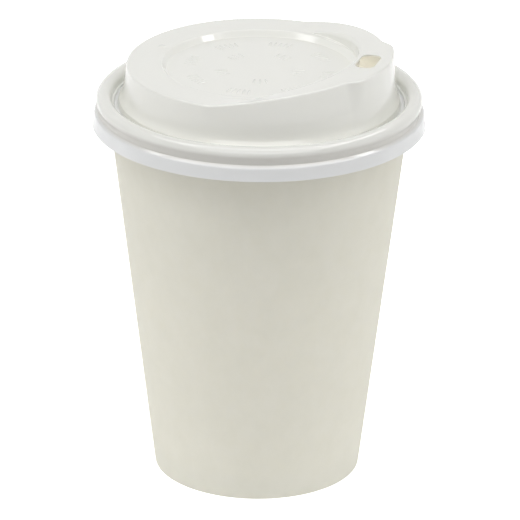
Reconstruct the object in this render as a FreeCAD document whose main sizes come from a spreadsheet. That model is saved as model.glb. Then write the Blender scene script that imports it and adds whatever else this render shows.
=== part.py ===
import FreeCAD, Part
import math
import os
import Sketcher

# A 12 oz paper hot cup with its thermoformed travel lid.
# The part stands on z = 0 with the cup's axis on Z, and the lid's sip hole lies towards +X.

# Driving sizes: millimetres, angles in degrees, slopes in millimetres across per millimetre up.
SIZES = {
    # paper sleeve
    "cupHeight": 112.0,
    "baseRadius": 29.2,
    "wallSlope": 0.1223,
    "boardThick": 0.4,
    "curlRadius": 1.2,
    "curlEndAngle": 35.0,
    "foldHeight": 6.0,
    "foldRound": 0.15,
    "glueGap": 0.05,
    "lapAngle": 15.0,
    "lapMargin": 1.0,
    # paper base disc
    "baseRecess": 7.0,
    "baseSkirtGap": 0.2,
    "baseBend": 0.9,
    # lid: wall and clearances on the rolled rim
    "lidThick": 0.45,
    "seatGap": 0.15,
    "beadRadius": 2.15,
    "beadOpening": 35.0,
    "plugGap": 0.35,
    "snapGap": 0.12,
    "snapDrop": 2.1,
    # lid: skirt
    "skirtFlare": 1.7,
    "skirtDepth": 4.75,
    "skirtShoulder": 0.78,
    "skirtShoulderDrop": 0.6,
    # lid: channel between the bead and the dome
    "channelWidth": 1.95,
    "channelDepth": 4.6,
    "channelDraft": 0.15,
    "ledgeDepth": 3.0,
    "ledgeStep": 0.5,
    # lid: dome
    "footDepth": 1.7,
    "footFlare": 1.4,
    "flareHeight": 3.8,
    "flareRound": 9.1,
    "flankSlope": 0.13,
    "domeInset": 2.35,
    "domeRise": 8.4,
    "crownLean": 0.5,
    "rampRise": 4.1,
    # lid: drinking spout
    "spoutAngle": 49.0,
    "spoutProud": 0.4,
    "spoutSlope": 0.05,
    "spoutCorner": 1.5,
    "holeInset": 6.3,
    "holeWidth": 5.5,
    "holeLength": 10.4,
    "holeCorner": 2.3,
    "ventInset": 6.8,
    "ventAngle": 172.0,
    "ventSize": 0.3,
    # lid: recessed well
    "crownWidth": 9.8,
    "wellDepth": 1.6,
    "wellFlare": 1.4,
    "wellRound": 0.45,
    "shelfNarrow": 0.35,
    "shelfShift": 1.4,
    "shelfSlope": 0.15,
}

# Sizes that follow from the driving ones, each a formula over both sheets.
FITS = {
    # faces of the board at the foot, from the outside in
    "sleeveInner": "dim.baseRadius - dim.boardThick",
    "discOuter": "fit.sleeveInner - dim.glueGap",
    "discInner": "fit.discOuter - dim.boardThick",
    "legOuter": "fit.discInner - dim.glueGap",
    "legInner": "fit.legOuter - dim.boardThick",
    "discSkirtZ": "dim.boardThick + dim.baseSkirtGap",
    "discTop": "dim.baseRecess + dim.boardThick",
    # the curl rolls outward from the top of the wall's inner face
    "curlZ": "dim.cupHeight - dim.curlRadius",
    "curlX": "fit.sleeveInner + dim.wallSlope * fit.curlZ + dim.curlRadius",
    "curlCore": "dim.curlRadius - dim.boardThick",
    "rimRadius": "fit.curlX + dim.curlRadius",
    # the lid's bead wraps the curl, its inner side plugs the cup's mouth
    "beadZ": "dim.cupHeight + dim.seatGap + dim.lidThick - dim.beadRadius",
    "plugRadius": "fit.rimRadius - 2 * dim.curlRadius - dim.plugGap",
    "beadX": "fit.plugRadius - dim.lidThick + dim.beadRadius",
    "beadTop": "fit.beadZ + dim.beadRadius",
    "snapRadius": "fit.rimRadius + dim.snapGap + dim.lidThick",
    "snapZ": "fit.beadZ - dim.snapDrop",
    "skirtRadius": "fit.snapRadius + dim.skirtFlare",
    "skirtFoot": "fit.snapZ - dim.skirtDepth",
    "skirtTop": "fit.snapZ - dim.skirtShoulderDrop",
    "channelInner": "fit.plugRadius - dim.lidThick - dim.channelWidth",
    "channelZ": "fit.beadTop - dim.channelDepth",
    "ledgeZ": "fit.beadTop - dim.ledgeDepth",
    # the dome stands inside the channel, and its well, spout and holes are set in from its edge
    "domeZ": "fit.beadTop + dim.domeRise",
    "domeRadius": "fit.channelInner - dim.domeInset",
    "flankFootZ": "fit.beadTop - dim.footDepth",
    "flareTopZ": "fit.flankFootZ + dim.flareHeight",
    "flareTopX": "fit.domeRadius + dim.flankSlope * (fit.domeZ - fit.flareTopZ)",
    "flankFootX": "fit.flareTopX + dim.footFlare",
    "dishRim": "fit.domeRadius - dim.crownWidth",
    "wellRadius": "fit.dishRim - dim.wellFlare",
    "wellZ": "fit.domeZ - dim.wellDepth",
    "wellAngle": "atan(dim.wellDepth / dim.wellFlare) / 1 deg",
    "mouthRim": "fit.dishRim + dim.shelfShift + dim.shelfNarrow",
    "spoutRadius": "fit.domeRadius + dim.spoutProud",
    "holeRadius": "fit.spoutRadius - dim.holeInset",
    "ventRadius": "fit.domeRadius - dim.ventInset",
    # the stock above the dome's top that the crown's cutters take away
    "cutHeight": "dim.rampRise + 4",
    "cutRadius": "fit.skirtRadius + 3",
}

doc = FreeCAD.newDocument("CoffeeCup")


def fill_sheet(label, cells):
    """Each row holds a name and its value or formula."""
    sheet = doc.addObject("Spreadsheet::Sheet", label)
    for row, (alias, content) in enumerate(cells.items(), start=1):
        sheet.set("A%d" % row, alias)
        sheet.setAlias("B%d" % row, alias)
        sheet.set("B%d" % row, content.replace(label + ".", ""))
        sheet.recompute()
    return sheet


dim = fill_sheet("dim", {alias: str(value) for alias, value in SIZES.items()})
fit = fill_sheet("fit", {alias: "=" + formula for alias, formula in FITS.items()})
probe = doc.addObject("Spreadsheet::Sheet", "probe")


def amount(formula):
    """The number that a formula over the sheets comes to."""
    probe.set("A1", "=" + formula)
    probe.recompute()
    return float(probe.get("A1"))


def size(name):
    return (dim if name in SIZES else fit).get(name)


def side_arc(start, end, radius, turn, far):
    """The arc from start to end: turn 1 runs anticlockwise, -1 clockwise; far takes the long way round."""
    chord = end - start
    left = FreeCAD.Vector(-chord.y, chord.x, 0).normalize()
    reach = math.sqrt(radius * radius - chord.Length * chord.Length / 4)
    centre = (start + end) * 0.5 + left * (reach * (-turn if far else turn))
    first = math.atan2(start.y - centre.y, start.x - centre.x)
    last = math.atan2(end.y - centre.y, end.x - centre.x)
    circle = Part.Circle(centre, FreeCAD.Vector(0, 0, 1), radius)
    return Part.ArcOfCircle(circle, *((first, last) if turn > 0 else (last, first)))


def outline(sketch, corners, arcs=None):
    """Draw a closed outline whose corners are pairs of formulas; arcs[i] bends the side after corner i."""
    arcs = arcs or {}
    points = [FreeCAD.Vector(amount(x), amount(y), 0) for x, y in corners]
    count = len(points)
    for i, start in enumerate(points):
        end = points[(i + 1) % count]
        if i in arcs:
            radius, turn, far = arcs[i]
            sketch.addGeometry(side_arc(start, end, amount(radius), turn, far))
        else:
            sketch.addGeometry(Part.LineSegment(start, end))

    def start_of(i):
        return 2 if i in arcs and arcs[i][1] < 0 else 1

    for i in range(count):
        after = (i + 1) % count
        sketch.addConstraint(Sketcher.Constraint("Coincident", i, 3 - start_of(i), after, start_of(after)))
    for i, (x, y) in enumerate(corners):
        for kind, axis, formula in (("DistanceX", -2, x), ("DistanceY", -1, y)):
            if formula == "0":
                sketch.addConstraint(Sketcher.Constraint("PointOnObject", i, start_of(i), axis))
                continue
            spot = Sketcher.Constraint(kind, -1, 1, i, start_of(i), amount(formula))
            sketch.setExpression("Constraints[%d]" % sketch.addConstraint(spot), formula)
    for i, (radius, turn, far) in arcs.items():
        bend = Sketcher.Constraint("Radius", i, amount(radius))
        sketch.setExpression("Constraints[%d]" % sketch.addConstraint(bend), radius)


def body_sketch(body, name, plane):
    sketch = body.newObject("Sketcher::SketchObject", name)
    origin_plane = [item for item in body.Origin.OriginFeatures if item.Role == plane][0]
    sketch.AttachmentSupport = [(origin_plane, "")]
    sketch.MapMode = "FlatFace"
    return sketch


def turned(body, name, sketch, angle=None):
    """Revolve a sketch of the body about Z, all the way or by a named angle either side of its plane."""
    feature = body.newObject("PartDesign::Revolution", name)
    feature.Profile = sketch
    feature.ReferenceAxis = (sketch, ["V_Axis"])
    feature.Angle = 360
    if angle:
        feature.Midplane = True
        feature.setExpression("Angle", angle)
    return feature


def rim_edges(shape, spots):
    """Names of the round edges at the given (radius, height) pairs."""
    names = []
    for i, edge in enumerate(shape.Edges, start=1):
        if not isinstance(edge.Curve, Part.Circle):
            continue
        for radius, height in spots:
            if abs(edge.Curve.Radius - radius) < 0.01 and abs(edge.Curve.Center.z - height) < 0.01:
                names.append("Edge%d" % i)
    return names


def rounded(body, name, base, spots, radius):
    """Fillet the body's round edges at the given (radius, height) pairs."""
    doc.recompute()
    fillet = body.newObject("PartDesign::Fillet", name)
    fillet.Base = (base, rim_edges(base.Shape, spots))
    fillet.setExpression("Radius", radius)
    body.Tip = fillet
    doc.recompute()
    return fillet


def wall_at(radius, height):
    """A face of the sleeve at a height, from that face's radius at the foot."""
    return "%s + dim.wallSlope * (%s)" % (radius, height)


def make_cup_wall():
    """The sleeve: one board, folded in at the foot, rolled outward at the rim and lapped at the back."""
    body = doc.addObject("PartDesign::Body", "cup_wall")
    section = body_sketch(body, "wallSection", "XZ_Plane")
    end_x = "fit.curlX - %s * sin(dim.curlEndAngle)"
    end_z = "fit.curlZ - %s * cos(dim.curlEndAngle)"
    corners = [
        ("dim.baseRadius", "0"),
        ("fit.curlX - fit.curlCore", "fit.curlZ"),
        (end_x % "fit.curlCore", end_z % "fit.curlCore"),
        (end_x % "dim.curlRadius", end_z % "dim.curlRadius"),
        ("fit.curlX - dim.curlRadius", "fit.curlZ"),
        (wall_at("fit.sleeveInner", "dim.boardThick"), "dim.boardThick"),
        (wall_at("fit.legOuter", "dim.boardThick"), "dim.boardThick"),
        (wall_at("fit.legOuter", "dim.foldHeight"), "dim.foldHeight"),
        (wall_at("fit.legInner", "dim.foldHeight"), "dim.foldHeight"),
        ("fit.legInner", "0"),
    ]
    outline(section, corners, {1: ("fit.curlCore", -1, True), 3: ("dim.curlRadius", 1, True)})
    sleeve = turned(body, "sleeve", section)
    foot = [(size("baseRadius"), 0), (size("legInner"), 0)]
    rounded(body, "foldRounding", sleeve, foot, "dim.foldRound")

    lap = body_sketch(body, "lapSection", "YZ_Plane")
    low = "dim.lapMargin"
    high = "fit.curlZ - dim.curlRadius - dim.lapMargin"
    outline(lap, [
        (wall_at("dim.baseRadius - dim.boardThick / 2", low), low),
        (wall_at("dim.baseRadius + dim.boardThick", low), low),
        (wall_at("dim.baseRadius + dim.boardThick", high), high),
        (wall_at("dim.baseRadius - dim.boardThick / 2", high), high),
    ])
    body.Tip = turned(body, "seamLap", lap, "dim.lapAngle")
    return body


def make_cup_base():
    """The base disc: its skirt stands down between the sleeve and the sleeve's fold."""
    body = doc.addObject("PartDesign::Body", "cup_base")
    section = body_sketch(body, "discSection", "XZ_Plane")
    outline(section, [
        ("0", "dim.baseRecess"),
        (wall_at("fit.discInner", "dim.baseRecess"), "dim.baseRecess"),
        (wall_at("fit.discInner", "fit.discSkirtZ"), "fit.discSkirtZ"),
        (wall_at("fit.discOuter", "fit.discSkirtZ"), "fit.discSkirtZ"),
        (wall_at("fit.discOuter", "fit.discTop"), "fit.discTop"),
        ("0", "fit.discTop"),
    ])
    disc = turned(body, "disc", section)
    slope = size("wallSlope")
    outside = [(size("discOuter") + slope * size("discTop"), size("discTop"))]
    bent = rounded(body, "outerBend", disc, outside, "dim.baseBend")
    inside = [(size("discInner") + slope * size("baseRecess"), size("baseRecess"))]
    rounded(body, "innerBend", bent, inside, "dim.baseBend - dim.boardThick")
    return body


def add(kind, name, **values):
    thing = doc.addObject(kind, name)
    for key, value in values.items():
        setattr(thing, key, value)
    return thing


def upright_sketch(name, corners, arcs=None):
    """A free sketch on the XZ plane."""
    sketch = doc.addObject("Sketcher::SketchObject", name)
    sketch.Placement = FreeCAD.Placement(FreeCAD.Vector(), FreeCAD.Rotation(FreeCAD.Vector(1, 0, 0), 90))
    outline(sketch, corners, arcs)
    return sketch


def spun(name, sketch, angle=360):
    return add("Part::Revolution", name, Source=sketch, Axis=FreeCAD.Vector(0, 0, 1),
               Base=FreeCAD.Vector(), Angle=angle, Symmetric=True, Solid=True)


def flank_section(tag, inset):
    """The lid's half section, from the skirt over the bead and channel to the dome, moved in by inset."""
    lean_x = "fit.domeRadius - %s - dim.crownLean * fit.cutHeight" % inset
    bead = "(dim.beadRadius - %s)" % inset
    corners = [
        ("0", "fit.skirtFoot - %s" % inset),
        ("fit.skirtRadius - %s" % inset, "fit.skirtFoot - %s" % inset),
        ("fit.skirtRadius - %s" % inset, "fit.skirtFoot"),
        ("fit.snapRadius + dim.skirtShoulder - %s" % inset, "fit.skirtTop"),
        ("fit.snapRadius - %s" % inset, "fit.snapZ"),
        ("fit.beadX + %s * cos(dim.beadOpening)" % bead, "fit.beadZ - %s * sin(dim.beadOpening)" % bead),
        ("fit.beadX - %s" % bead, "fit.beadZ"),
        ("fit.beadX - %s - dim.channelDraft" % bead, "fit.ledgeZ - %s" % inset),
        ("fit.beadX - %s - dim.channelDraft - dim.ledgeStep" % bead, "fit.ledgeZ - %s" % inset),
        ("fit.beadX - %s - 2 * dim.channelDraft - dim.ledgeStep" % bead, "fit.channelZ - %s" % inset),
        ("fit.channelInner + dim.channelDraft - %s" % inset, "fit.channelZ - %s" % inset),
        ("fit.flankFootX - %s" % inset, "fit.flankFootZ"),
        ("fit.flareTopX - %s" % inset, "fit.flareTopZ"),
        ("fit.domeRadius - %s" % inset, "fit.domeZ - %s * dim.crownLean / 2" % inset),
        (lean_x, "fit.domeZ + fit.cutHeight"),
        ("0", "fit.domeZ + fit.cutHeight"),
    ]
    if inset == "0":
        del corners[1]
    arcs = {
        corners.index(("fit.beadX + %s * cos(dim.beadOpening)" % bead,
                       "fit.beadZ - %s * sin(dim.beadOpening)" % bead)): (bead, 1, True),
        len(corners) - 5: ("dim.flareRound", -1, False),
    }
    return upright_sketch(tag + "Section", corners, arcs)


def crown_space(tag, inset):
    """All that lies above the dome's top: level in the back half, a ruled ramp up to the spout in front."""
    top = "fit.domeZ - %s" % inset
    rails = []
    for name, radius in (("Inner", "fit.wellRadius / 2"), ("Outer", "fit.cutRadius")):
        rail = add("Part::Ellipse", tag + name + "Rail", Angle1=270, Angle2=90)
        rail.Placement = FreeCAD.Placement(FreeCAD.Vector(), FreeCAD.Rotation(FreeCAD.Vector(0, -1, 0), 1))
        rail.setExpression("MajorRadius", "sqrt((%s) ^ 2 + dim.rampRise ^ 2)" % radius)
        rail.setExpression("MinorRadius", radius)
        rail.setExpression("Placement.Base.z", top)
        rail.setExpression("Placement.Rotation.Angle", "atan(dim.rampRise / (%s))" % radius)
        rails.append(rail)
    doc.recompute()
    ramp = add("Part::RuledSurface", tag + "Ramp", Curve1=(rails[0], [""]), Curve2=(rails[1], [""]))
    above = add("Part::Extrusion", tag + "AboveRamp", Base=ramp, Dir=FreeCAD.Vector(0, 0, 1), Solid=True)
    above.setExpression("LengthFwd", "fit.cutHeight")
    level = add("Part::Box", tag + "AboveLevel")
    level.setExpression("Length", "fit.cutRadius")
    level.setExpression("Width", "2 * fit.cutRadius")
    level.setExpression("Height", "fit.cutHeight")
    level.setExpression("Placement.Base.x", "-fit.cutRadius")
    level.setExpression("Placement.Base.y", "-fit.cutRadius")
    level.setExpression("Placement.Base.z", top)
    return [above, level]


def well_space(tag, inset):
    """The recessed well: a drafted dish, and above it the wider opening of the ramp with its shelf."""
    high = "fit.domeZ + fit.cutHeight"
    bend = "dim.wellRound + %s" % inset
    reach = "(%s) * tan(fit.wellAngle / 2)" % bend
    dish = upright_sketch(tag + "DishSection", [
        ("0", "fit.wellZ - %s" % inset),
        ("fit.wellRadius + %s - %s" % (inset, reach), "fit.wellZ - %s" % inset),
        ("fit.wellRadius + %s + %s * cos(fit.wellAngle)" % (inset, reach),
         "fit.wellZ - %s + %s * sin(fit.wellAngle)" % (inset, reach)),
        ("fit.dishRim + %s" % inset, "fit.domeZ - %s" % inset),
        ("fit.dishRim + %s" % inset, high),
        ("0", high),
    ], {1: (bend, 1, False)})
    mouth = upright_sketch(tag + "MouthSection", [
        ("0", "fit.domeZ - %s" % inset),
        ("fit.mouthRim + %s" % inset, "fit.domeZ - %s" % inset),
        ("fit.mouthRim + dim.shelfSlope * fit.cutHeight + %s" % inset, high),
        ("0", high),
    ])
    opening = spun(tag + "Mouth", mouth)
    opening.setExpression("Placement.Base.x", "-dim.shelfShift")
    return [spun(tag + "Dish", dish), opening]


def spout_block(tag, inset):
    """The spout: a sector that stands proud of the leaning flank, with rounded upright corners."""
    low = "fit.flankFootZ"
    high = "fit.domeZ + fit.cutHeight"
    face = "fit.spoutRadius + dim.spoutSlope * (fit.domeZ + dim.rampRise - (%s)) - %s"
    section = upright_sketch(tag + "SpoutSection", [
        ("fit.dishRim", low),
        (face % (low, inset), low),
        (face % (high, inset), high),
        ("fit.dishRim", high),
    ])
    block = spun(tag + "Spout", section)
    block.setExpression("Angle", "dim.spoutAngle * 1 deg - 2 * asin((%s) / fit.spoutRadius)" % inset)
    doc.recompute()
    corners = []
    for i, edge in enumerate(block.Shape.Edges, start=1):
        ends = [vertex.Point for vertex in edge.Vertexes]
        upright = isinstance(edge.Curve, Part.Line) and abs(ends[0].z - ends[-1].z) > 1
        if upright and min(math.hypot(end.x, end.y) for end in ends) > size("dishRim") + 1:
            corners.append((i, size("spoutCorner") - amount(inset), size("spoutCorner") - amount(inset)))
    return add("Part::Fillet", tag + "SpoutRounded", Base=block, Edges=corners)


def lid_form(tag, inset):
    """The lid's outer or inner form as one closed solid."""
    flank = spun(tag + "Flank", flank_section(tag, inset))
    spout = spout_block(tag, inset)
    stock = add("Part::Fuse", tag + "Stock", Base=flank, Tool=spout)
    cutters = add("Part::MultiFuse", tag + "Cutters", Shapes=crown_space(tag, inset) + well_space(tag, inset))
    return add("Part::Cut", tag + "Form", Base=stock, Tool=cutters)


def sip_hole():
    """A rounded slot through the spout's top, with the vent pinhole opposite."""
    slot = add("Part::Box", "slotBlock")
    slot.setExpression("Length", "dim.holeWidth")
    slot.setExpression("Width", "dim.holeLength")
    slot.setExpression("Height", "fit.cutHeight + dim.rampRise")
    slot.setExpression("Placement.Base.x", "fit.holeRadius - dim.holeWidth / 2")
    slot.setExpression("Placement.Base.y", "-dim.holeLength / 2")
    slot.setExpression("Placement.Base.z", "fit.domeZ - dim.lidThick")
    doc.recompute()
    upright = [(i, size("holeCorner"), size("holeCorner")) for i, edge in enumerate(slot.Shape.Edges, start=1)
               if abs(edge.Vertexes[0].Z - edge.Vertexes[1].Z) > 1]
    hole = add("Part::Fillet", "sipHole", Base=slot)
    hole.Edges = upright
    vent = add("Part::Cylinder", "ventHole")
    vent.setExpression("Radius", "dim.ventSize")
    vent.setExpression("Height", "4 * dim.lidThick")
    vent.setExpression("Placement.Base.x", "fit.ventRadius * cos(dim.ventAngle)")
    vent.setExpression("Placement.Base.y", "fit.ventRadius * sin(dim.ventAngle)")
    vent.setExpression("Placement.Base.z", "fit.domeZ - 2 * dim.lidThick")
    return [hole, vent]


def make_lid():
    """One thermoformed sheet: the outer form less the inner form, pierced by the sip hole and the vent."""
    shell = add("Part::Cut", "lidShell", Base=lid_form("outer", "0"), Tool=lid_form("inner", "dim.lidThick"))
    holes = add("Part::MultiFuse", "lidHoles", Shapes=sip_hole())
    return add("Part::Cut", "lid", Base=shell, Tool=holes)


parts = [make_cup_wall(), make_cup_base(), make_lid()]
doc.recompute()

for thing in doc.Objects:
    if "Invalid" in thing.State or "Error" in thing.State:
        raise RuntimeError("%s did not recompute: %s" % (thing.Label, thing.State))
os.makedirs("parts", exist_ok=True)
for part in parts:
    if part.Shape.isNull() or not part.Shape.isValid():
        raise RuntimeError("%s has no valid shape" % part.Label)
    part.Shape.exportStep("parts/%s.step" % part.Label)
    box = part.Shape.optimalBoundingBox()
    print("%s: %d solid, %.1f mm3, x %.2f to %.2f, y %.2f to %.2f, z %.2f to %.2f"
          % (part.Label, len(part.Shape.Solids), part.Shape.Volume,
             box.XMin, box.XMax, box.YMin, box.YMax, box.ZMin, box.ZMax))
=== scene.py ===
import bpy
import bmesh
from functools import partial
from math import atan2, cos, exp, hypot, pi, radians, sin, sqrt, tan
from mathutils import Matrix, Vector


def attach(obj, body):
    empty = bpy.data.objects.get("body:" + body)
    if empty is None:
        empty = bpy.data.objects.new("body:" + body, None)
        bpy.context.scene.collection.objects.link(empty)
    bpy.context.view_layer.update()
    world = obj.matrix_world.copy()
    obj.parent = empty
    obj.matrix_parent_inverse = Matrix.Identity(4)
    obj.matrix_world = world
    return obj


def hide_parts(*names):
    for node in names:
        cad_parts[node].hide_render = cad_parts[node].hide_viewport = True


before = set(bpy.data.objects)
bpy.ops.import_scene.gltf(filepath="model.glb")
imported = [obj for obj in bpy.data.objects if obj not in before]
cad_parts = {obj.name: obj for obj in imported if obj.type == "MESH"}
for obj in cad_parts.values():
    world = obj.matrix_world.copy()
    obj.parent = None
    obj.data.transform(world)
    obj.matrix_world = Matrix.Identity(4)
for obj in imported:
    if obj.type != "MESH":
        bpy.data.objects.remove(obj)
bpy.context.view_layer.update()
mm = 0.001
scene = bpy.context.scene

cameraSetup = {
    "azimuth": 17.0,       # degrees from the front, so the sip hole lies to the right
    "distance": 1.42513,   # metres out from the cup's axis
    "height": 0.64622,
    "pitch": 22.314,
    "yaw": 0.021,
    "roll": 0.419,
    "lens": 375.05,
}


def makeCamera(c):
    p, r = radians(c["pitch"]), radians(c["roll"])
    turn = Matrix.Rotation(radians(c["azimuth"] - c["yaw"]), 3, "Z")
    forward = turn @ Vector((0, cos(p), -sin(p)))
    right = turn @ Vector((1, 0, 0))
    up = right.cross(forward)
    axisX = right * cos(r) + up * sin(r)
    axisY = up * cos(r) - right * sin(r)
    a = radians(c["azimuth"])
    matrix = Matrix((axisX, axisY, -forward)).transposed().to_4x4()
    matrix.translation = (sin(a) * c["distance"], -cos(a) * c["distance"], c["height"])
    data = bpy.data.cameras.new("photoCamera")
    data.lens = c["lens"]
    data.sensor_width = 36
    data.clip_end = 20
    camera = bpy.data.objects.new("photoCamera", data)
    scene.collection.objects.link(camera)
    camera.matrix_world = matrix
    scene.camera = camera


makeCamera(cameraSetup)
print("camera set")


def newMaterial(name):
    material = bpy.data.materials.new(name)
    material.use_nodes = True
    tree = material.node_tree
    return material, tree, tree.nodes["Principled BSDF"]


def addNode(tree, kind, **settings):
    node = tree.nodes.new(kind)
    for key, value in settings.items():
        if key[0].isupper():
            node.inputs[key.replace("_", " ")].default_value = value
        else:
            setattr(node, key, value)
    return node


def linear(rgb):
    # an sRGB colour of 0-255 as linear light
    def one(v):
        v /= 255
        return v / 12.92 if v <= 0.04045 else ((v + 0.055) / 1.055) ** 2.4
    return tuple(one(v) for v in rgb) + (1,)


def mathNode(tree, operation, *values):
    node = addNode(tree, "ShaderNodeMath", operation=operation)
    for socket, value in zip(node.inputs, values):
        if isinstance(value, (int, float)):
            socket.default_value = value
        else:
            tree.links.new(value, socket)
    return node.outputs[0]


def mixColour(tree, factor, first, second):
    mix = addNode(tree, "ShaderNodeMix", data_type="RGBA")
    tree.links.new(factor, mix.inputs[0])
    for value, socket in ((first, mix.inputs[6]), (second, mix.inputs[7])):
        if isinstance(value, tuple):
            socket.default_value = value
        else:
            tree.links.new(value, socket)
    return mix.outputs[2]


def mapRange(tree, value, low, high, outLow=0.0, outHigh=1.0):
    node = addNode(tree, "ShaderNodeMapRange")
    tree.links.new(value, node.inputs["Value"])
    numbers = {"From Min": low, "From Max": high, "To Min": outLow, "To Max": outHigh}
    for name, number in numbers.items():
        node.inputs[name].default_value = number
    return node.outputs[0]


paperFinish = {
    "colour": (233, 231, 219),
    "shade": (230, 228, 215),
    "clouding": 180.0,      # pulp clouds per metre
    "fibre": 2600.0,
    "fibreDepth": 0.00003,
    "fibreStrength": 0.35,
    "fibreRoughness": (-0.06, 0.04),    # how far the fibres take the roughness down and up
    "gloss": 0.3,
    "glow": 0.06,           # how much light goes through the board
    "glowReach": (1.0, 0.9, 0.7),
    "glowScale": 0.002,
}


def makePaper(name, f, roughness):
    material, tree, bsdf = newMaterial(name)
    place = addNode(tree, "ShaderNodeTexCoord").outputs["Object"]
    cloud = addNode(tree, "ShaderNodeTexNoise", Scale=f["clouding"], Detail=4.0, Roughness=0.6)
    fibre = addNode(tree, "ShaderNodeTexNoise", Scale=f["fibre"], Detail=3.0, Roughness=0.65)
    stretched = addNode(tree, "ShaderNodeMapping")
    stretched.inputs["Scale"].default_value = (1, 1, 0.8)
    tree.links.new(place, stretched.inputs["Vector"])
    for noise in (cloud, fibre):
        tree.links.new(stretched.outputs[0], noise.inputs["Vector"])
    clouding = mapRange(tree, cloud.outputs["Fac"], 0.3, 0.7)
    colour = mixColour(tree, clouding, linear(f["colour"]), linear(f["shade"]))
    tree.links.new(colour, bsdf.inputs["Base Color"])
    smooth, rough = (roughness + change for change in f["fibreRoughness"])
    tree.links.new(mapRange(tree, fibre.outputs["Fac"], 0.3, 0.7, smooth, rough), bsdf.inputs["Roughness"])
    bump = addNode(tree, "ShaderNodeBump", Strength=f["fibreStrength"], Distance=f["fibreDepth"])
    tree.links.new(fibre.outputs["Fac"], bump.inputs["Height"])
    tree.links.new(bump.outputs[0], bsdf.inputs["Normal"])
    bsdf.inputs["Specular IOR Level"].default_value = f["gloss"]
    bsdf.inputs["Subsurface Weight"].default_value = f["glow"]
    bsdf.inputs["Subsurface Radius"].default_value = f["glowReach"]
    bsdf.inputs["Subsurface Scale"].default_value = f["glowScale"]
    return material


plasticFinish = {
    "crown": (235, 235, 229),
    "skirt": (230, 231, 231),
    "skirtFrom": 0.1085,
    "skirtTo": 0.1100,
    "paintedGrooveShade": (211, 209, 203),        # painted shade: the snap groove between bead and skirt is coloured darker for the shade that falls in it
    "paintedGrooveShadeFrom": 0.0451,             # metres out from the axis
    "paintedGrooveShadeLow": 0.1079,
    "paintedGrooveShadeHigh": 0.1100,
    "paintedGrooveShadeSoft": 0.0009,
    "roughness": 0.1,
    "haze": 140.0,
    "hazeRoughness": (-0.015, 0.02),
    "flow": 45.0,                   # slow waves that forming leaves in the sheet, per metre
    "flowDepth": 0.0002,
    "flowStrength": 0.15,
    "ior": 1.57,
    "glow": 0.08,
    "glowReach": (1.0, 0.97, 0.88),
    "glowScale": 0.0025,
}


def paintedGrooveShadeBand(tree, place, z, f):
    # mask of the painted groove shade: 1 in the snap groove outside, 0 elsewhere
    flat = addNode(tree, "ShaderNodeVectorMath", operation="MULTIPLY")
    flat.inputs[1].default_value = (1, 1, 0)
    tree.links.new(place, flat.inputs[0])
    radius = addNode(tree, "ShaderNodeVectorMath", operation="LENGTH")
    tree.links.new(flat.outputs[0], radius.inputs[0])
    soft = f["paintedGrooveShadeSoft"]
    low = mapRange(tree, z, f["paintedGrooveShadeLow"] - soft, f["paintedGrooveShadeLow"])
    high = mapRange(tree, z, f["paintedGrooveShadeHigh"] + soft, f["paintedGrooveShadeHigh"])
    outside = mapRange(tree, radius.outputs["Value"], f["paintedGrooveShadeFrom"] - soft, f["paintedGrooveShadeFrom"])
    return mathNode(tree, "MULTIPLY", mathNode(tree, "MULTIPLY", low, high), outside)


def makePlastic(name, f):
    material, tree, bsdf = newMaterial(name)
    place = addNode(tree, "ShaderNodeTexCoord").outputs["Object"]
    split = addNode(tree, "ShaderNodeSeparateXYZ")
    tree.links.new(place, split.inputs[0])
    z = split.outputs["Z"]
    flow = addNode(tree, "ShaderNodeTexNoise", Scale=f["flow"], Detail=2.0)
    haze = addNode(tree, "ShaderNodeTexNoise", Scale=f["haze"], Detail=1.0)
    for noise in (flow, haze):
        tree.links.new(place, noise.inputs["Vector"])
    height = mapRange(tree, z, f["skirtFrom"], f["skirtTo"])
    base = mixColour(tree, height, linear(f["skirt"]), linear(f["crown"]))
    # darken the snap groove with painted shade
    base = mixColour(tree, paintedGrooveShadeBand(tree, place, z, f), base, linear(f["paintedGrooveShade"]))
    tree.links.new(base, bsdf.inputs["Base Color"])
    smooth, rough = (f["roughness"] + change for change in f["hazeRoughness"])
    tree.links.new(mapRange(tree, haze.outputs["Fac"], 0.3, 0.7, smooth, rough), bsdf.inputs["Roughness"])
    bump = addNode(tree, "ShaderNodeBump", Strength=f["flowStrength"], Distance=f["flowDepth"])
    tree.links.new(flow.outputs["Fac"], bump.inputs["Height"])
    tree.links.new(bump.outputs[0], bsdf.inputs["Normal"])
    bsdf.inputs["IOR"].default_value = f["ior"]
    bsdf.inputs["Subsurface Weight"].default_value = f["glow"]
    bsdf.inputs["Subsurface Radius"].default_value = f["glowReach"]
    bsdf.inputs["Subsurface Scale"].default_value = f["glowScale"]
    return material


cupPaper = makePaper("cupPaper", paperFinish, 0.72)
basePaper = makePaper("basePaper", paperFinish, 0.66)
lidPlastic = makePlastic("lidPlastic", plasticFinish)
print("materials made")


sleeveSizes = {
    "height": 112.0,
    "footRadius": 29.2,
    "slope": 0.1223,        # how far the wall leans out for each millimetre up
    "board": 0.4,
    "glue": 0.05,
    "curl": 1.2,            # outer radius of the rolled rim
    "curlEnd": 35.0,        # degrees from straight down to the curl's free edge
    "fold": 6.0,            # height of the board folded in at the foot
    "foldRound": 0.15,
    "lapHalf": 7.5,         # degrees either side of the seam's middle
    "lapMargin": 1.0,
    "lapStep": 0.02,        # height over which the lap's ends step out
    "columns": 360,
}


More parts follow.
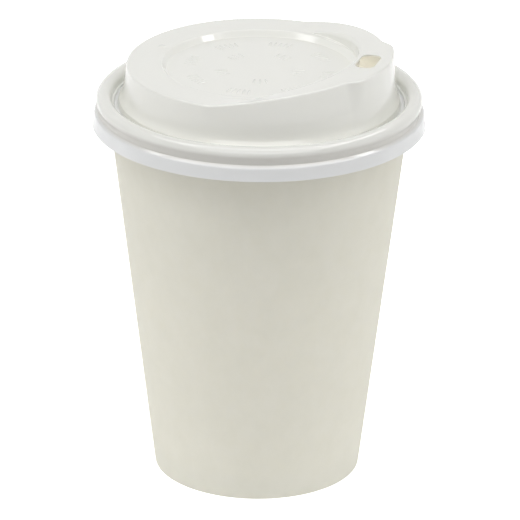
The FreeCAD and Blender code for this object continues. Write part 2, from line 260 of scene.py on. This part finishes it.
def sleeveOutline(s):
    # the board's edge all round in (radius, height, lap): foot outside, curl, inside, fold
    board = s["board"]
    inner = s["footRadius"] - board
    legOuter = inner - 2 * s["glue"] - board
    curlZ = s["height"] - s["curl"]
    curlX = inner + s["slope"] * curlZ + s["curl"]
    core = s["curl"] - board
    points = []

    def wall(radius, low, high, count, lap=0):
        for i in range(count + 1):
            z = low + (high - low) * i / count
            points.append((radius + s["slope"] * z, z, lap))

    def arc(cx, cz, radius, start, end, count):
        for i in range(count + 1):
            a = radians(start + (end - start) * i / count)
            points.append((cx + radius * cos(a), cz + radius * sin(a), 0))

    r, step = s["foldRound"], s["lapStep"]
    arc(s["footRadius"] - r, r, r, -90, -10, 4)
    lapFoot = s["lapMargin"]
    lapTop = curlZ - s["curl"] - s["lapMargin"]
    points.append((s["footRadius"] + s["slope"] * (lapFoot - step), lapFoot - step, 0))
    wall(s["footRadius"], lapFoot, lapTop, 36, 1)
    points.append((s["footRadius"] + s["slope"] * (lapTop + step), lapTop + step, 0))
    arc(curlX, curlZ, core, 187, -90 - s["curlEnd"], 26)
    arc(curlX, curlZ, s["curl"], -90 - s["curlEnd"], 187, 30)
    wall(inner, curlZ - 1, board, 24)
    wall(legOuter, board, s["fold"], 4)
    wall(legOuter - board, s["fold"], 0.4, 4)
    arc(legOuter - board + r, r, r, 180, 270, 4)
    return points


def outlineMesh(name, points):
    mesh = bpy.data.meshes.new(name)
    mesh.from_pydata([(x * mm, lap, z * mm) for x, z, lap in points], [], [])
    piece = bpy.data.objects.new(name, mesh)
    scene.collection.objects.link(piece)
    return piece


def sleeveTree(rows):
    # a sheet of columns and rows, each row taken from the outline and each column set at its own angle
    tree = bpy.data.node_groups.new("rolledSleeve", "GeometryNodeTree")
    face = tree.interface
    face.new_socket("Geometry", in_out="INPUT", socket_type="NodeSocketGeometry")
    inputs = {
        "Outline": "Object", "Columns": "Int", "Lap half angle": "Float",
        "Lap thickness": "Float", "Paper": "Material",
    }
    for name, kind in inputs.items():
        face.new_socket(name, in_out="INPUT", socket_type="NodeSocket" + kind)
    face.new_socket("Geometry", in_out="OUTPUT", socket_type="NodeSocketGeometry")
    link = tree.links.new
    source = tree.nodes.new("NodeGroupInput").outputs
    result = tree.nodes.new("NodeGroupOutput")
    math = partial(mathNode, tree)

    sheet = addNode(tree, "GeometryNodeMeshGrid", Vertices_Y=rows + 1)
    link(math("ADD", source["Columns"], 1), sheet.inputs["Vertices X"])
    spot = tree.nodes.new("ShaderNodeSeparateXYZ")
    link(tree.nodes.new("GeometryNodeInputPosition").outputs[0], spot.inputs[0])
    row = math("MODULO", math("ROUND", math("MULTIPLY", math("ADD", spot.outputs[1], 0.5), rows)), rows)
    angle = math("MULTIPLY", spot.outputs[0], 2 * pi)
    # the columns nearest the lap's edges are gathered there, so that its step is steep
    away = math("SUBTRACT", source["Lap half angle"], math("ABSOLUTE", angle))
    near = math("LESS_THAN", math("ABSOLUTE", away), radians(0.6))
    gather = math("MULTIPLY", math("MULTIPLY", math("MULTIPLY", away, 0.88), near), math("SIGN", angle))
    angle = math("ADD", angle, gather)
    lapShare = math("DIVIDE", source["Lap half angle"], 2 * pi)
    lapped = math("LESS_THAN", math("ABSOLUTE", spot.outputs[0]), lapShare)
    outlineInfo = tree.nodes.new("GeometryNodeObjectInfo")
    link(source["Outline"], outlineInfo.inputs[0])
    sample = tree.nodes.new("GeometryNodeSampleIndex")
    sample.data_type = "FLOAT_VECTOR"
    link(outlineInfo.outputs["Geometry"], sample.inputs["Geometry"])
    link(tree.nodes.new("GeometryNodeInputPosition").outputs[0], sample.inputs["Value"])
    link(row, sample.inputs["Index"])
    edge = tree.nodes.new("ShaderNodeSeparateXYZ")
    link(sample.outputs[0], edge.inputs[0])
    lift = math("MULTIPLY", math("MULTIPLY", edge.outputs[1], lapped), source["Lap thickness"])
    radius = math("ADD", edge.outputs[0], lift)
    place = tree.nodes.new("ShaderNodeCombineXYZ")
    link(math("MULTIPLY", radius, math("SINE", angle)), place.inputs[0])
    link(math("MULTIPLY", radius, math("COSINE", angle)), place.inputs[1])
    link(edge.outputs[2], place.inputs[2])
    move = tree.nodes.new("GeometryNodeSetPosition")
    link(sheet.outputs["Mesh"], move.inputs["Geometry"])
    link(place.outputs[0], move.inputs["Position"])
    merge = addNode(tree, "GeometryNodeMergeByDistance", Distance=2e-6)
    link(move.outputs[0], merge.inputs["Geometry"])
    real = tree.nodes.new("GeometryNodeRealizeInstances")
    link(merge.outputs[0], real.inputs[0])
    paint = tree.nodes.new("GeometryNodeSetMaterial")
    link(real.outputs[0], paint.inputs["Geometry"])
    link(source["Paper"], paint.inputs["Material"])
    link(paint.outputs[0], result.inputs[0])
    return tree


def bakeNodes(name, tree, values):
    # run a node tree once and keep its result as a plain mesh
    holder = bpy.data.objects.new(name + "Nodes", bpy.data.meshes.new(name + "Nodes"))
    scene.collection.objects.link(holder)
    modifier = holder.modifiers.new("build", "NODES")
    modifier.node_group = tree
    for item in tree.interface.items_tree:
        if item.in_out == "INPUT" and item.name in values:
            modifier[item.identifier] = values[item.name]
    graph = bpy.context.evaluated_depsgraph_get()
    mesh = bpy.data.meshes.new_from_object(holder.evaluated_get(graph), depsgraph=graph)
    mesh.name = name
    holder.modifiers.clear()
    bpy.data.objects.remove(holder)
    return mesh


def finishMesh(mesh, sharp=40):
    # merged doubles, outward faces, smooth but for real edges
    work = bmesh.new()
    work.from_mesh(mesh)
    bmesh.ops.remove_doubles(work, verts=work.verts, dist=2e-6)
    bmesh.ops.recalc_face_normals(work, faces=work.faces)
    work.to_mesh(mesh)
    work.free()
    mesh.shade_smooth()
    mesh.set_sharp_from_angle(angle=radians(sharp))


def placePiece(name, mesh, body, slot, *stands):
    piece = bpy.data.objects.new(name, mesh)
    scene.collection.objects.link(piece)
    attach(piece, body)
    if stands:
        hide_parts(*stands)
    print(name, len(mesh.polygons), "faces")
    return piece


outlinePoints = sleeveOutline(sleeveSizes)
sleeveGuide = outlineMesh("sleeveGuide", outlinePoints)
sleeveMesh = bakeNodes("sleeve", sleeveTree(len(outlinePoints)), {
    "Outline": sleeveGuide,
    "Columns": sleeveSizes["columns"],
    "Lap half angle": radians(sleeveSizes["lapHalf"]),
    "Lap thickness": sleeveSizes["board"] * mm,
    "Paper": cupPaper,
})
bpy.data.objects.remove(sleeveGuide)
finishMesh(sleeveMesh)
placePiece("sleeve", sleeveMesh, "cup", "cup_paper", "cup_wall")

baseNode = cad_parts["cup_base"]
for slotItem in baseNode.material_slots:
    slotItem.material = basePaper


lidSizes = {
    "wall": 0.45,
    "skirtRadius": 47.02,
    "skirtFoot": 103.6,
    "shoulderRadius": 46.3,
    "shoulderZ": 107.1,
    "shoulderRound": 0.8,
    "snapRadius": 45.32,
    "snapZ": 107.8,
    "snapRound": 0.15,
    "beadX": 43.7,
    "beadZ": 110.45,
    "beadRadius": 2.15,
    "beadOpening": 35.0,        # degrees under the level, where the bead ends
    "ledgeZ": 109.6,
    "ledgeStep": 0.5,
    "ledgeRound": (0.2, 0.22),
    "channelZ": 108.7,
    "channelRound": 0.45,
    "channelInner": 39.6,
    "draft": 0.15,
    "flankFootX": 39.47,
    "flankFootZ": 110.9,
    "flankSlope": 0.13,
    "flareHeight": 6.2,
    "flarePower": 4.4,          # the flank's foot sweeps out ever faster
    "footRound": 0.3,
    "domeRadius": 37.25,
    "domeZ": 121.0,
    "crownLean": 0.5,
    "crownRound": 0.6,
    "rampRise": 4.1,
    "rampPower": 2.9,           # the ramp climbs fastest where it leaves the level crown
    "rampFront": 95.0,          # degrees from the spout where the crown's edge starts to climb
    "rampBack": 86.0,
    "rampInner": 76.0,          # and where the dish's edge does
    "spoutHalf": 31.0,
    "spoutRadius": 37.65,
    "spoutSlope": 0.05,
    "spoutTurn": 6.0,
    "mouthRim": 29.2,
    "mouthShift": -1.7,
    "mouthSlope": 0.06,
    "mouthRound": 0.5,          # small beside the sip hole
    "mouthRoundBack": 1.6,      # and soft further round
    "mouthSoft": (8, 40),       # degrees from the spout where it grows, and over how many
    "mouthFoot": 0.5,
    "dishRim": 27.45,
    "dishRound": 0.7,
    "wellRadius": 26.05,
    "wellZ": 119.4,
    "wellRound": 0.45,
    "wellCrown": 0.12,
    "holeX": 31.6,
    "holeWidth": 5.6,
    "holeLength": 10.8,
    "holeCorner": 2.3,
    "ventAngle": 172.0,
    "ventReach": 30.45,
    "ventRadius": 0.15,
    "ventNub": 0.35,
    "ventSpread": 1.0,
    "spoutStep": 0.5,           # degrees from column to column on the spout
    "ventStep": 0.35,
    "ventColumns": 14,          # close columns on either side of the vent
}


def corner(before, at, after, radius, count):
    # points of a rounded corner; the round shrinks where its sides are short
    a, b, c = Vector(before), Vector(at), Vector(after)
    first, second = a - b, c - b
    if first.length < 1e-6 or second.length < 1e-6:
        return [tuple(b)] * (count + 1)
    bend = first.angle(second)
    if bend > pi - 1e-3:
        return [tuple(b)] * (count + 1)
    trim = min(radius / tan(bend / 2), first.length * 0.48, second.length * 0.48)
    radius = trim * tan(bend / 2)
    start = b + first.normalized() * trim
    middle = b + (first.normalized() + second.normalized()).normalized() * (radius / sin(bend / 2))
    end = b + second.normalized() * trim
    begin = atan2(start.y - middle.y, start.x - middle.x)
    sweep = atan2(end.y - middle.y, end.x - middle.x) - begin
    sweep = (sweep + pi) % (2 * pi) - pi
    angles = [begin + sweep * i / count for i in range(count + 1)]
    return [(middle.x + radius * cos(a), middle.y + radius * sin(a)) for a in angles]


def between(a, b, count):
    # inner points of a straight run
    return [(a[0] + (b[0] - a[0]) * i / count, a[1] + (b[1] - a[1]) * i / count) for i in range(1, count)]


def rimProfile(s):
    # skirt, bead and channel: the same all round
    foot = (s["skirtRadius"], s["skirtFoot"])
    shoulder = (s["shoulderRadius"], s["shoulderZ"])
    snap = (s["snapRadius"], s["snapZ"])
    opening = radians(-s["beadOpening"])
    angles = [opening + (pi - opening) * i / 26 for i in range(27)]
    bead = [(s["beadX"] + s["beadRadius"] * cos(a), s["beadZ"] + s["beadRadius"] * sin(a)) for a in angles]
    inner = s["beadX"] - s["beadRadius"]
    ledgeOut = (inner - s["draft"], s["ledgeZ"])
    ledgeIn = (inner - s["draft"] - s["ledgeStep"], s["ledgeZ"])
    floorOut = (inner - 2 * s["draft"] - s["ledgeStep"], s["channelZ"])
    floorIn = (s["channelInner"] + s["draft"], s["channelZ"])
    flankFoot = (s["flankFootX"], s["flankFootZ"])
    points = [foot] + between(foot, shoulder, 4)
    points += corner(foot, shoulder, snap, s["shoulderRound"], 5)
    points += corner(shoulder, snap, bead[0], s["snapRound"], 3) + bead
    hollow, edge = s["ledgeRound"]
    points += corner((inner, s["beadZ"]), ledgeOut, ledgeIn, hollow, 3)
    points += corner(ledgeOut, ledgeIn, floorOut, edge, 4)
    points += corner(ledgeIn, floorOut, floorIn, s["channelRound"], 4)
    points += corner(floorOut, floorIn, flankFoot, s["channelRound"], 4)
    return points, floorIn


def flarePoints(top, s, count):
    # the flank's foot sweeps out from its straight part, faster the lower it gets
    low, high = s["flankFootZ"], top[1]
    lean = s["flankSlope"] * (high - low)
    reach = s["flankFootX"] - top[0] - lean
    points = []
    for i in range(count):
        t = (i / count) ** 1.3      # closer rows at the foot
        points.append((top[0] + lean * (1 - t) + reach * (1 - t) ** s["flarePower"], low + (high - low) * t))
    return points


def spoutShare(degrees, s):
    # 1 on the spout, 0 on the plain flank, with a soft upright shoulder between
    past = (abs(degrees) - s["spoutHalf"]) * radians(1) * s["spoutRadius"] + s["spoutTurn"]
    share = min(max(past / s["spoutTurn"], 0), 1)
    return (1 - share ** 2) ** 1.6


def rampHeight(degrees, start, s):
    # how far the crown has climbed at one angle, when it starts at another
    share = min(abs(degrees) / start, 1.0)
    return s["rampRise"] * (1 - share ** s["rampPower"])


def crownProfile(degrees, s, floorIn):
    # channel wall, flank, crown and well at one angle
    a = radians(degrees)
    rise = rampHeight(degrees, s["rampFront"] if degrees < 0 else s["rampBack"], s)
    innerRise = rampHeight(degrees, s["rampInner"], s)
    share = spoutShare(degrees, s)

    def blend(plain, z):
        spout = s["spoutRadius"] + s["spoutSlope"] * (s["domeZ"] + s["rampRise"] - z)
        return plain + (max(plain, spout) - plain) * share

    top = s["domeZ"] + rise
    flareZ = s["flankFootZ"] + s["flareHeight"]
    flareTop = (blend(s["domeRadius"] + s["flankSlope"] * (s["domeZ"] - flareZ), flareZ), flareZ)
    edge = (blend(s["domeRadius"] - s["crownLean"] * rise, top), top)
    mouth = s["mouthShift"] * cos(a) + sqrt(s["mouthRim"] ** 2 - (s["mouthShift"] * sin(a)) ** 2)
    mouthHigh = (mouth + s["mouthSlope"] * innerRise, s["domeZ"] + innerRise)
    mouthLow = (mouth, s["domeZ"])
    softStart, softReach = s["mouthSoft"]
    soft = min(max((abs(degrees) - softStart) / softReach, 0), 1)
    mouthRound = s["mouthRound"] + (s["mouthRoundBack"] - s["mouthRound"]) * soft
    dishRim = (s["dishRim"], s["domeZ"])
    wellFloor = (s["wellRadius"], s["wellZ"])
    flare = flarePoints(flareTop, s, 10)
    points = corner(floorIn, flare[0], flare[1], s["footRound"], 4) + flare[1:]
    crown = corner(flareTop, edge, mouthHigh, s["crownRound"], 8)
    points += [flareTop] + between(flareTop, crown[0], 4)
    rim = corner(crown[-1], mouthHigh, mouthLow, mouthRound, 8)
    points += crown + between(crown[-1], rim[0], 26) + rim
    base = corner(mouthHigh, mouthLow, dishRim, s["mouthFoot"], 4)
    dish = corner(mouthLow, dishRim, wellFloor, s["dishRound"], 6)
    points += base + between(base[-1], dish[0], 6) + dish
    well = corner(dishRim, wellFloor, (0, s["wellZ"]), s["wellRound"], 6)
    points += well
    for i in range(1, 6):
        share = 1 - i / 6
        points.append((well[-1][0] * share, s["wellZ"] + s["wellCrown"] * (1 - share ** 2)))
    return points


def lidAngles(s):
    # close columns over the spout, closer round its upright corners and closest at the vent
    turn = s["spoutTurn"] / (radians(1) * s["spoutRadius"])
    start = s["spoutHalf"] - turn
    side = [start + turn * i / 14 for i in range(16)]
    steps = int(start / s["spoutStep"])
    middle = [start * i / steps for i in range(steps)]
    last = side[-1]
    rest = [last + (180 - last) * i / 80 for i in range(1, 80)]
    half = middle + side + rest
    around = [-a for a in reversed(half[1:])] + half + [180]
    vent, step, count = s["ventAngle"], s["ventStep"], s["ventColumns"]
    near = [vent + step * i for i in range(-count, count + 1)]
    clear = step * count + 0.3
    return sorted([a for a in around if abs(a - vent) > clear] + near)


def inSlot(x, y, s):
    # signed distance to the sip hole's outline, negative inside
    dx = abs(x - s["holeX"]) - s["holeWidth"] / 2 + s["holeCorner"]
    dy = abs(y) - s["holeLength"] / 2 + s["holeCorner"]
    return hypot(max(dx, 0), max(dy, 0)) + min(max(dx, dy), 0) - s["holeCorner"]


def fromVent(x, y, s):
    a = radians(s["ventAngle"])
    return hypot(x - s["ventReach"] * cos(a), y - s["ventReach"] * sin(a))


def raiseVent(work, s):
    # a low nub on the crown that the vent pinhole goes through
    for vert in work.verts:
        x, y, z = vert.co / mm
        away = fromVent(x, y, s) / s["ventSpread"]
        if z > s["domeZ"] - 0.01 and away < 2.5:
            vert.co.z += s["ventNub"] * exp(-away ** 2 * 1.6) * mm


def punch(work, distance, reach, s):
    # cut out the crown's faces inside an outline and draw the edge left onto it
    lowest = s["wellZ"] - 1.4
    gone = []
    for face in work.faces:
        c = face.calc_center_median() / mm
        if c.z > lowest and hypot(c.x, c.y) > 20 and distance(c.x, c.y) < 0:
            gone.append(face)
    bmesh.ops.delete(work, geom=gone, context="FACES")
    edge = {v for e in work.edges if e.is_boundary for v in e.verts}
    step = 0.01
    for vert in edge:
        x, y = vert.co.x / mm, vert.co.y / mm
        if vert.co.z / mm < lowest or abs(distance(x, y)) > reach:
            continue
        for i in range(6):
            d = distance(x, y)
            gx = (distance(x + step, y) - distance(x - step, y)) / (2 * step)
            gy = (distance(x, y + step) - distance(x, y - step)) / (2 * step)
            size = max(gx * gx + gy * gy, 0.1)
            x, y = x - d * gx / size, y - d * gy / size
        vert.co.x, vert.co.y = x * mm, y * mm


def lidMesh(s):
    # the sheet's outer face, one column of points for each angle, closed in the middle of the well
    work = bmesh.new()
    rim, floorIn = rimProfile(s)
    columns = []
    for degrees in lidAngles(s):
        a = radians(degrees)
        profile = rim + crownProfile(degrees, s, floorIn)
        columns.append([work.verts.new((r * cos(a) * mm, r * sin(a) * mm, z * mm)) for r, z in profile])
    middle = work.verts.new((0, 0, (s["wellZ"] + s["wellCrown"]) * mm))
    for i, column in enumerate(columns):
        after = columns[(i + 1) % len(columns)]
        for k in range(len(column) - 1):
            work.faces.new((column[k], after[k], after[k + 1], column[k + 1]))
        work.faces.new((column[-1], after[-1], middle))
    raiseVent(work, s)
    punch(work, lambda x, y: inSlot(x, y, s), 0.5, s)
    punch(work, lambda x, y: fromVent(x, y, s) - s["ventRadius"], 0.3, s)
    bmesh.ops.remove_doubles(work, verts=work.verts, dist=4e-6)
    bmesh.ops.recalc_face_normals(work, faces=work.faces)
    mesh = bpy.data.meshes.new("lidForm")
    work.to_mesh(mesh)
    work.free()
    return mesh


def thicken(mesh, wall, material):
    # give the sheet its wall, inwards
    holder = bpy.data.objects.new("lidForm", mesh)
    scene.collection.objects.link(holder)
    skin = holder.modifiers.new("wall", "SOLIDIFY")
    skin.thickness = wall * mm
    skin.offset = -1
    skin.use_even_offset = True
    graph = bpy.context.evaluated_depsgraph_get()
    solid = bpy.data.meshes.new_from_object(holder.evaluated_get(graph), depsgraph=graph)
    bpy.data.objects.remove(holder)
    solid.materials.clear()
    solid.materials.append(material)
    return solid


lidForm = lidMesh(lidSizes)
lidSolid = thicken(lidForm, lidSizes["wall"], lidPlastic)
lidSolid.name = "formedLid"
lidSolid.shade_smooth()
lidSolid.set_sharp_from_angle(angle=radians(50))
placePiece("formedLid", lidSolid, "lid", "lid_plastic", "lid")


ribSizes = {
    "length": 4.2,
    "width": 0.7,
    "height": 0.2,
    "sunk": 0.06,           # how deep a rib's middle lies in the well floor
    # for each ring: radius, groups, ribs in a group, degrees from group to group and from rib to rib
    "rings": {
        "outerRibs": (19.6, 8, 5, 45.0, 4.2),
        "innerRibs": (11.0, 5, 3, 72.0, 9.0),
    },
}


def ribTree():
    # low ribs in groups round a circle, each lying towards the middle
    tree = bpy.data.node_groups.new("wellRibs", "GeometryNodeTree")
    face = tree.interface
    inputs = {
        "Groups": "Int", "Ribs": "Int", "Group step": "Float", "Rib step": "Float",
        "Ring radius": "Float", "Height": "Float", "Rib size": "Vector", "Plastic": "Material",
    }
    for name, kind in inputs.items():
        face.new_socket(name, in_out="INPUT", socket_type="NodeSocket" + kind)
    face.new_socket("Geometry", in_out="OUTPUT", socket_type="NodeSocketGeometry")
    link = tree.links.new
    source = tree.nodes.new("NodeGroupInput").outputs
    result = tree.nodes.new("NodeGroupOutput")
    math = partial(mathNode, tree)

    index = tree.nodes.new("GeometryNodeInputIndex").outputs[0]
    group = math("FLOOR", math("DIVIDE", index, source["Ribs"]))
    halfGroup = math("MULTIPLY", math("SUBTRACT", source["Ribs"], 1), 0.5)
    within = math("SUBTRACT", math("MODULO", index, source["Ribs"]), halfGroup)
    groupAngle = math("MULTIPLY", group, source["Group step"])
    angle = math("ADD", groupAngle, math("MULTIPLY", within, source["Rib step"]))
    place = tree.nodes.new("ShaderNodeCombineXYZ")
    link(math("MULTIPLY", source["Ring radius"], math("COSINE", angle)), place.inputs[0])
    link(math("MULTIPLY", source["Ring radius"], math("SINE", angle)), place.inputs[1])
    link(source["Height"], place.inputs[2])
    spots = tree.nodes.new("GeometryNodePoints")
    link(math("MULTIPLY", source["Groups"], source["Ribs"]), spots.inputs["Count"])
    link(place.outputs[0], spots.inputs["Position"])
    rib = addNode(tree, "GeometryNodeMeshIcoSphere", Radius=1.0, Subdivisions=2)
    turn = tree.nodes.new("ShaderNodeCombineXYZ")
    link(angle, turn.inputs[2])
    spread = tree.nodes.new("GeometryNodeInstanceOnPoints")
    link(spots.outputs[0], spread.inputs["Points"])
    link(rib.outputs["Mesh"], spread.inputs["Instance"])
    link(turn.outputs[0], spread.inputs["Rotation"])
    link(source["Rib size"], spread.inputs["Scale"])
    real = tree.nodes.new("GeometryNodeRealizeInstances")
    link(spread.outputs[0], real.inputs[0])
    paint = tree.nodes.new("GeometryNodeSetMaterial")
    link(real.outputs[0], paint.inputs["Geometry"])
    link(source["Plastic"], paint.inputs["Material"])
    link(paint.outputs[0], result.inputs[0])
    return tree


def makeRibs(name, tree, s, ring, groups, ribs, groupStep, ribStep):
    floorZ = lidSizes["wellZ"] + lidSizes["wellCrown"] * (1 - (ring / lidSizes["wellRadius"]) ** 2)
    mesh = bakeNodes(name, tree, {
        "Groups": groups,
        "Ribs": ribs,
        "Group step": radians(groupStep),
        "Rib step": radians(ribStep),
        "Ring radius": ring * mm,
        "Height": (floorZ - s["sunk"]) * mm,
        "Rib size": (s["length"] * 0.5 * mm, s["width"] * 0.5 * mm, s["height"] * mm),
        "Plastic": lidPlastic,
    })
    mesh.shade_smooth()
    placePiece(name, mesh, "lid", "lid_plastic")


ribNodes = ribTree()
for ringName, ringValues in ribSizes["rings"].items():
    makeRibs(ringName, ribNodes, ribSizes, *ringValues)


studio = {
    "sky": 0.13,
    "floor": (245, 245, 245),
    "floorSize": 12,
    "floorRoughness": 0.9,
    "floorGloss": 0.1,
    "floorGlow": 0.6,        # lifts the floor to white where it is seen
    "pool": 0.19,            # light that the floor round the cup throws back
    "poolReach": (0.03, 0.3),
    "inside": 0.042,         # stands for the light that comes through lid and board
    "insideColour": (1.0, 0.965, 1.0),
    "insideRadius": 0.012,
    "insideZ": 0.055,
    "aim": (0, 0, 0.08),     # the point that the lamps look at
    # power, degrees round from the camera, degrees up, distance, width, depth, lights, shines
    "lamps": {
        "topLamp": (2.1, 0, 88, 1.25, 1.0, 0.6, True, False),
        "frontHighLamp": (6.5, 0, 68, 1.35, 1.6, 0.3, True, False),
        "frontLamp": (1.4, 0, 45, 1.4, 1.2, 0.3, True, False),
        "leftHighLamp": (1.7, -60, 50, 1.3, 0.6, 0.4, True, False),
        "rightHighLamp": (0.6, 60, 50, 1.3, 0.6, 0.4, True, False),
        "leftLamp": (3.1, -85, 20, 1.2, 0.7, 0.7, True, False),
        "rightLamp": (3.4, 85, 20, 1.2, 0.7, 0.7, True, False),
        "leftBackLamp": (1.5, -125, 25, 1.3, 0.7, 0.8, True, False),
        "rightBackLamp": (1.5, 125, 25, 1.3, 0.7, 0.8, True, False),
        "backLamp": (3.0, 180, 17, 1.5, 1.6, 0.8, True, False),
        "overheadShine": (9.0, 0, 88, 1.3, 1.6, 0.5, False, True),
        "lowShine": (8.5, 0, 41, 1.3, 1.6, 0.7, False, True),
        "leftShine": (2.1, -80, 54, 1.3, 1.0, 0.14, False, True),
        "rightShine": (5.2, 88, 52, 1.3, 1.5, 0.14, False, True),
    },
}


def seenDirectly(tree):
    # 1 for what the camera, a reflection or a see-through part shows, 0 for the light itself
    seen = addNode(tree, "ShaderNodeLightPath").outputs
    most = mathNode(tree, "MAXIMUM", seen["Is Camera Ray"], seen["Is Glossy Ray"])
    return mathNode(tree, "MAXIMUM", most, seen["Is Transmission Ray"])


def makeFloor(s):
    bpy.ops.mesh.primitive_plane_add(size=s["floorSize"])
    floor = bpy.context.object
    floor.name = "studioFloor"
    material, tree, bsdf = newMaterial("studioFloor")
    bsdf.inputs["Roughness"].default_value = s["floorRoughness"]
    bsdf.inputs["Specular IOR Level"].default_value = s["floorGloss"]
    bsdf.inputs["Base Color"].default_value = linear(s["floor"])
    bsdf.inputs["Emission Color"].default_value = (1, 1, 1, 1)
    reach = addNode(tree, "ShaderNodeVectorMath", operation="LENGTH")
    tree.links.new(addNode(tree, "ShaderNodeTexCoord").outputs["Object"], reach.inputs[0])
    glow = addNode(tree, "ShaderNodeMapRange")
    tree.links.new(seenDirectly(tree), glow.inputs["Value"])
    pool = mapRange(tree, reach.outputs["Value"], *s["poolReach"], s["pool"], 0)
    tree.links.new(pool, glow.inputs["To Min"])
    glow.inputs["To Max"].default_value = s["floorGlow"]
    tree.links.new(glow.outputs[0], bsdf.inputs["Emission Strength"])
    floor.data.materials.append(material)


def makeWorld(s):
    world = bpy.data.worlds.new("softbox")
    scene.world = world
    world.use_nodes = True
    tree = world.node_tree
    background = tree.nodes["Background"]
    background.inputs["Color"].default_value = (1, 1, 1, 1)
    tree.links.new(mapRange(tree, seenDirectly(tree), 0, 1, s["sky"], 1.0), background.inputs["Strength"])


def makeLamp(name, power, side, up, distance, width, depth, lights, shines):
    data = bpy.data.lights.new(name, "AREA")
    data.shape = "RECTANGLE"
    data.size, data.size_y = width, depth
    data.energy = power
    lamp = bpy.data.objects.new(name, data)
    scene.collection.objects.link(lamp)
    lamp.visible_diffuse = lights
    lamp.visible_glossy = shines
    a, e = radians(cameraSetup["azimuth"] + side), radians(up)
    way = Vector((sin(a) * cos(e), -cos(a) * cos(e), sin(e)))
    turn = way.to_track_quat("Z", "Y").to_matrix().to_4x4()
    lamp.matrix_world = Matrix.Translation(Vector(studio["aim"]) + way * distance) @ turn


def makeInnerGlow(s):
    data = bpy.data.lights.new("innerGlow", "POINT")
    data.energy = s["inside"]
    data.color = s["insideColour"]
    data.shadow_soft_size = s["insideRadius"]
    lamp = bpy.data.objects.new("innerGlow", data)
    scene.collection.objects.link(lamp)
    lamp.location = (0, 0, s["insideZ"])
    lamp.visible_camera = False
    lamp.visible_glossy = False


makeFloor(studio)
makeWorld(studio)
for lampName, lampValues in studio["lamps"].items():
    makeLamp(lampName, *lampValues)
makeInnerGlow(studio)
print("studio lit")

scene.view_settings.view_transform = "Standard"
print("scene ready")
